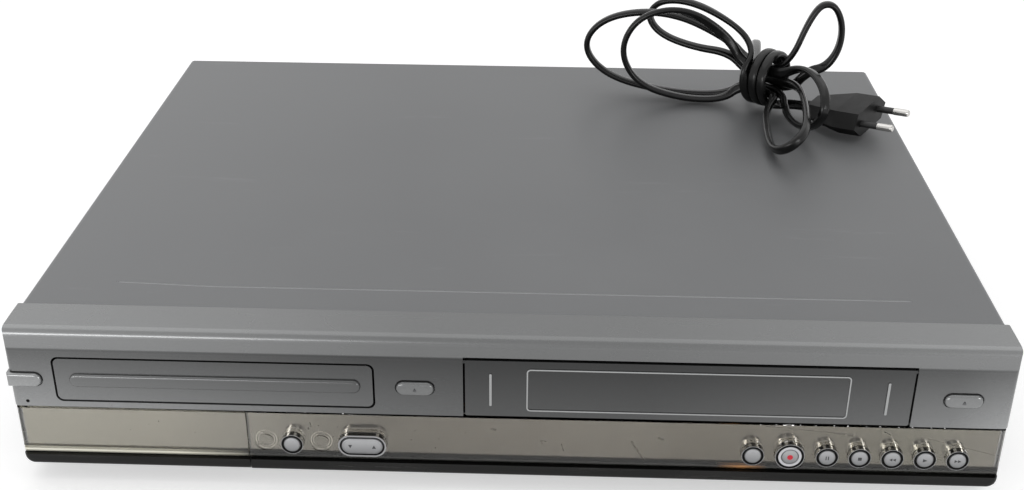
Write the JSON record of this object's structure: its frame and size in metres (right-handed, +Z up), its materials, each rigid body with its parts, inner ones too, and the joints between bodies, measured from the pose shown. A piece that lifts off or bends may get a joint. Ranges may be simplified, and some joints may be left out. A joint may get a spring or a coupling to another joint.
{
  "type": "dvd vcr combo player",
  "caption": "Wide flat silver disc and cassette recorder with loading tray, cassette door, fold-down socket flap and its mains lead tied in a hank on the cover.",
  "frame": {"origin": "centre of the footprint on the ground under the feet", "axes": "+X to the viewer's right along the front, +Y to the back, +Z up"},
  "size_m": [0.4314, 0.4074, 0.1448],
  "materials": {
    "silver_plastic": "satin metallic paint",
    "key_silver": "satin",
    "sheet_grey": "fine satin paint",
    "zinc_sheet": "galvanised",
    "bright_steel": "ground",
    "chrome": "polished",
    "drum_alloy": "turned",
    "clear": "polished",
    "champagne_mirror": "champagne film",
    "dark_strip": "gloss",
    "black_plastic": "fine texture",
    "black_gloss": "gloss",
    "white_plastic": "satin",
    "pinion_plastic": "satin",
    "rubber_black": "matte",
    "cord_black": "gloss",
    "board_green": "solder mask",
    "board_tan": "phenolic",
    "motor_steel": "plated"
  },
  "bodies": {
    "cabinet": {"av_panel": "black_plastic", "av_sockets": "white_plastic", "button_rings": "chrome", "chassis_base": "zinc_sheet", "cord_gland": "black_plastic", "cord_hank": "cord_black", "cover_screws": "bright_steel", "deck_chassis": "zinc_sheet", "drive_frame": "black_plastic", "drum_base": "drum_alloy", "fan_frame": "black_plastic", "feet": "black_plastic", "front_bezel": "silver_plastic", "front_board": "board_tan", "loading_motors": "motor_steel", "lower_trim": "dark_strip", "lower_window": "clear", "main_board": "board_green", "mains_plug": "black_gloss", "plug_pins": "bright_steel", "power_board": "board_tan", "power_cord": "cord_black", "rca_sockets": "black_plastic", "rear_panel": "zinc_sheet", "scart_sockets": "black_plastic", "tape_guides": "bright_steel", "top_cover": "sheet_grey", "traverse": "zinc_sheet", "tuner": "zinc_sheet", "window_backing": "champagne_mirror"},
    "disc_tray": {"disc_tray": "black_plastic", "tray_front": "silver_plastic"},
    "tray_pinion": {"tray_pinion": "pinion_plastic"},
    "turntable": {"turntable": "rubber_black"},
    "disc_clamp": {"disc_clamp": "black_plastic"},
    "laser_sled": {"laser_sled": "black_plastic"},
    "cassette_door": {"cassette_door": "silver_plastic"},
    "cassette_carriage": {"cassette_carriage": "zinc_sheet"},
    "head_drum": {"head_drum": "drum_alloy"},
    "capstan": {"capstan": "bright_steel"},
    "supply_reel": {"supply_reel": "black_plastic"},
    "takeup_reel": {"takeup_reel": "black_plastic"},
    "av_flap": {"flap_frame": "dark_strip", "flap_window": "clear", "flap_backing": "champagne_mirror"},
    "fan_rotor": {"fan_rotor": "black_plastic"},
    "channel_rocker": {"channel_rocker": "key_silver"},
    "standby_button": {"standby_button": "key_silver"},
    "open_close_button": {"open_close_button": "key_silver"},
    "eject_button": {"eject_button": "key_silver"},
    "dubbing_button": {"dubbing_button": "key_silver"},
    "source_button": {"source_button": "key_silver"},
    "record_button": {"record_button": "key_silver"},
    "pause_button": {"pause_button": "key_silver"},
    "stop_button": {"stop_button": "key_silver"},
    "rewind_button": {"rewind_button": "key_silver"},
    "play_button": {"play_button": "key_silver"},
    "fast_forward_button": {"fast_forward_button": "key_silver"}
  },
  "joints": [
    {"name": "tray_slide", "type": "slide", "parent": "cabinet", "child": "disc_tray", "axis": [0, -1, 0], "range_m": [0, 0.15]},
    {"name": "tray_pinion_spin", "type": "hinge", "parent": "cabinet", "child": "tray_pinion", "pos_m": [-0.17125, -0.1377, 0.04], "axis": [0, 0, 1], "range_deg": [0, 865]},
    {"name": "turntable_spin", "type": "hinge", "parent": "cabinet", "child": "turntable", "pos_m": [-0.1261, -0.082, 0.04], "axis": [0, 0, 1], "continuous": true},
    {"name": "clamp_spin", "type": "hinge", "parent": "cabinet", "child": "disc_clamp", "pos_m": [-0.1261, -0.082, 0.065], "axis": [0, 0, 1], "continuous": true},
    {"name": "sled_slide", "type": "slide", "parent": "cabinet", "child": "laser_sled", "axis": [0, 1, 0], "range_m": [0, 0.034]},
    {"name": "cassette_door_swing", "type": "hinge", "parent": "cabinet", "child": "cassette_door", "pos_m": [0.0771, -0.1707, 0.0663], "axis": [1, 0, 0], "range_deg": [0, 88], "stiffness_Nm_per_rad": 0.012, "springref_deg": -20.05},
    {"name": "carriage_drop", "type": "slide", "parent": "cabinet", "child": "cassette_carriage", "axis": [0, 0, -1], "range_m": [0, 0.017]},
    {"name": "head_drum_spin", "type": "hinge", "parent": "cabinet", "child": "head_drum", "pos_m": [0.0691, 0.0058, 0.0222], "axis": [0.1038, 0, 0.9946], "continuous": true},
    {"name": "capstan_spin", "type": "hinge", "parent": "cabinet", "child": "capstan", "pos_m": [0.1281, -0.0182, 0.02], "axis": [0, 0, 1], "continuous": true},
    {"name": "supply_reel_spin", "type": "hinge", "parent": "cabinet", "child": "supply_reel", "pos_m": [0.0311, -0.0782, 0.025], "axis": [0, 0, 1], "continuous": true},
    {"name": "takeup_reel_spin", "type": "hinge", "parent": "cabinet", "child": "takeup_reel", "pos_m": [0.1231, -0.0782, 0.025], "axis": [0, 0, 1], "continuous": true},
    {"name": "av_flap_swing", "type": "hinge", "parent": "cabinet", "child": "av_flap", "pos_m": [-0.1635, -0.1663, 0.0104], "axis": [1, 0, 0], "range_deg": [0, 90]},
    {"name": "fan_spin", "type": "hinge", "parent": "cabinet", "child": "fan_rotor", "pos_m": [0.095, 0.1646, 0.045], "axis": [0, 1, 0], "continuous": true},
    {"name": "standby_press", "type": "slide", "parent": "cabinet", "child": "standby_button", "axis": [0, 1, 0], "range_m": [0, 0.0007], "stiffness_N_per_m": 800, "springref_m": -0.0007},
    {"name": "open_close_press", "type": "slide", "parent": "cabinet", "child": "open_close_button", "axis": [0, 1, 0], "range_m": [0, 0.0007], "stiffness_N_per_m": 800, "springref_m": -0.0007},
    {"name": "eject_press", "type": "slide", "parent": "cabinet", "child": "eject_button", "axis": [0, 1, 0], "range_m": [0, 0.0007], "stiffness_N_per_m": 800, "springref_m": -0.0007},
    {"name": "dubbing_press", "type": "slide", "parent": "cabinet", "child": "dubbing_button", "axis": [0, 1, 0], "range_m": [0, 0.0007], "stiffness_N_per_m": 800, "springref_m": -0.0007},
    {"name": "source_press", "type": "slide", "parent": "cabinet", "child": "source_button", "axis": [0, 1, 0], "range_m": [0, 0.0007], "stiffness_N_per_m": 800, "springref_m": -0.0007},
    {"name": "record_press", "type": "slide", "parent": "cabinet", "child": "record_button", "axis": [0, 1, 0], "range_m": [0, 0.0007], "stiffness_N_per_m": 800, "springref_m": -0.0007},
    {"name": "pause_press", "type": "slide", "parent": "cabinet", "child": "pause_button", "axis": [0, 1, 0], "range_m": [0, 0.0007], "stiffness_N_per_m": 800, "springref_m": -0.0007},
    {"name": "stop_press", "type": "slide", "parent": "cabinet", "child": "stop_button", "axis": [0, 1, 0], "range_m": [0, 0.0007], "stiffness_N_per_m": 800, "springref_m": -0.0007},
    {"name": "rewind_press", "type": "slide", "parent": "cabinet", "child": "rewind_button", "axis": [0, 1, 0], "range_m": [0, 0.0007], "stiffness_N_per_m": 800, "springref_m": -0.0007},
    {"name": "play_press", "type": "slide", "parent": "cabinet", "child": "play_button", "axis": [0, 1, 0], "range_m": [0, 0.0007], "stiffness_N_per_m": 800, "springref_m": -0.0007},
    {"name": "fast_forward_press", "type": "slide", "parent": "cabinet", "child": "fast_forward_button", "axis": [0, 1, 0], "range_m": [0, 0.0007], "stiffness_N_per_m": 800, "springref_m": -0.0007},
    {"name": "channel_rock", "type": "hinge", "parent": "cabinet", "child": "channel_rocker", "pos_m": [-0.0629, -0.1704, 0.0243], "axis": [0, 0, 1], "range_deg": [-3, 3], "stiffness_Nm_per_rad": 0.05}
  ],
  "couplings": [
    {"joint": "tray_pinion_spin", "follows": "tray_slide", "rad_per_m": 100}
  ]
}
